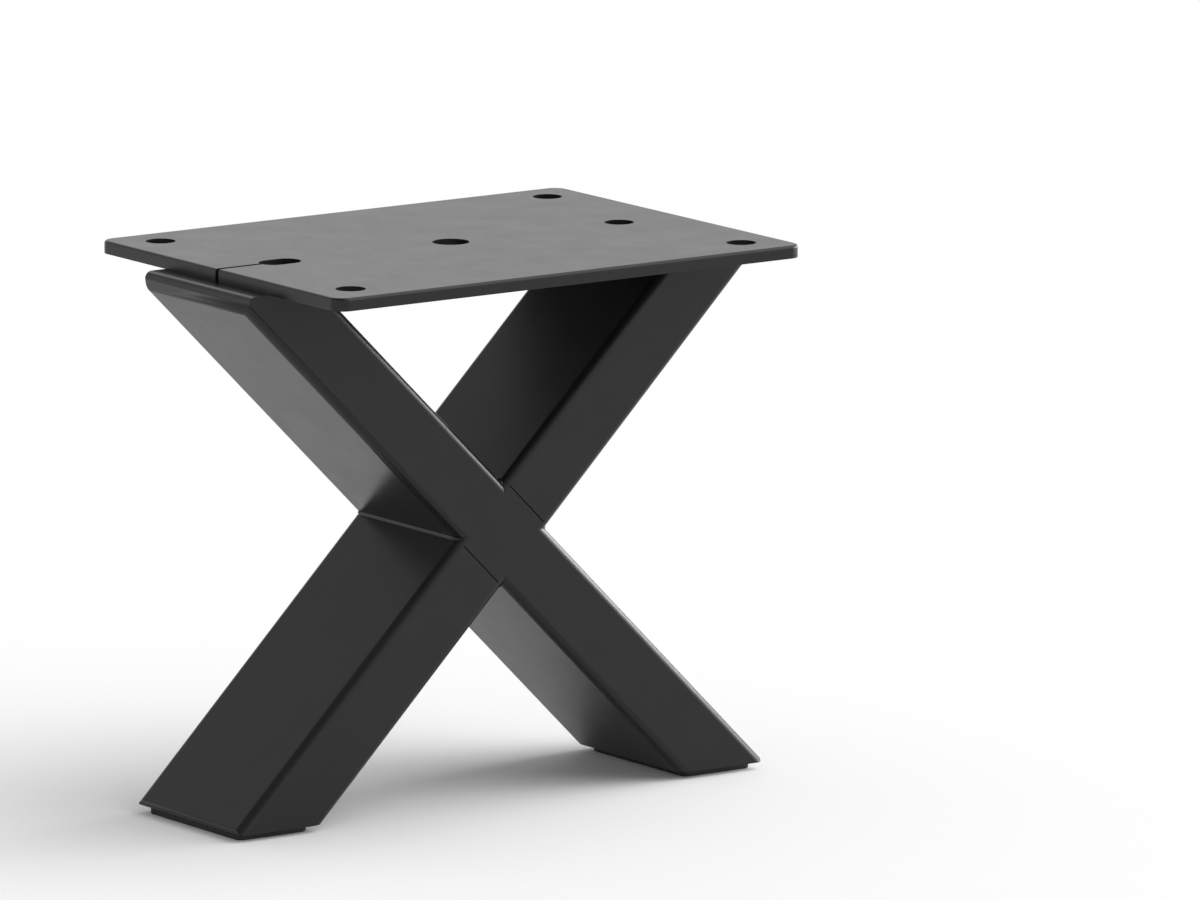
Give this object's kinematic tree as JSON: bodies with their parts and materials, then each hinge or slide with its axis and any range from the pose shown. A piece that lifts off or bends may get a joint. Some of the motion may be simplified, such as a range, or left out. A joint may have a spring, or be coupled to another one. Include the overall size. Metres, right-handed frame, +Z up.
{
  "type": "furniture leg",
  "caption": "Low X-shaped furniture leg of black rectangular steel tube, with a drilled mounting plate on top and rubber pads under its feet.",
  "frame": {"origin": "on the floor, under the middle of the X", "axes": "+X along the plate's long side, +Y across it, +Z up"},
  "size_m": [0.17, 0.115, 0.15],
  "materials": {
    "black_steel": "satin",
    "black_rubber": "matte"
  },
  "bodies": {
    "root": {"top_plate": "black_steel", "through_tube": "black_steel", "upper_arm_tube": "black_steel", "lower_leg_tube": "black_steel", "crossing_weld_upper": "black_steel", "crossing_weld_lower": "black_steel", "plate_weld_left": "black_steel", "plate_weld_right": "black_steel", "foot_plate_left": "black_steel", "foot_plate_right": "black_steel", "glide_pad_left": "black_rubber", "glide_pad_right": "black_rubber"}
  },
  "joints": []
}
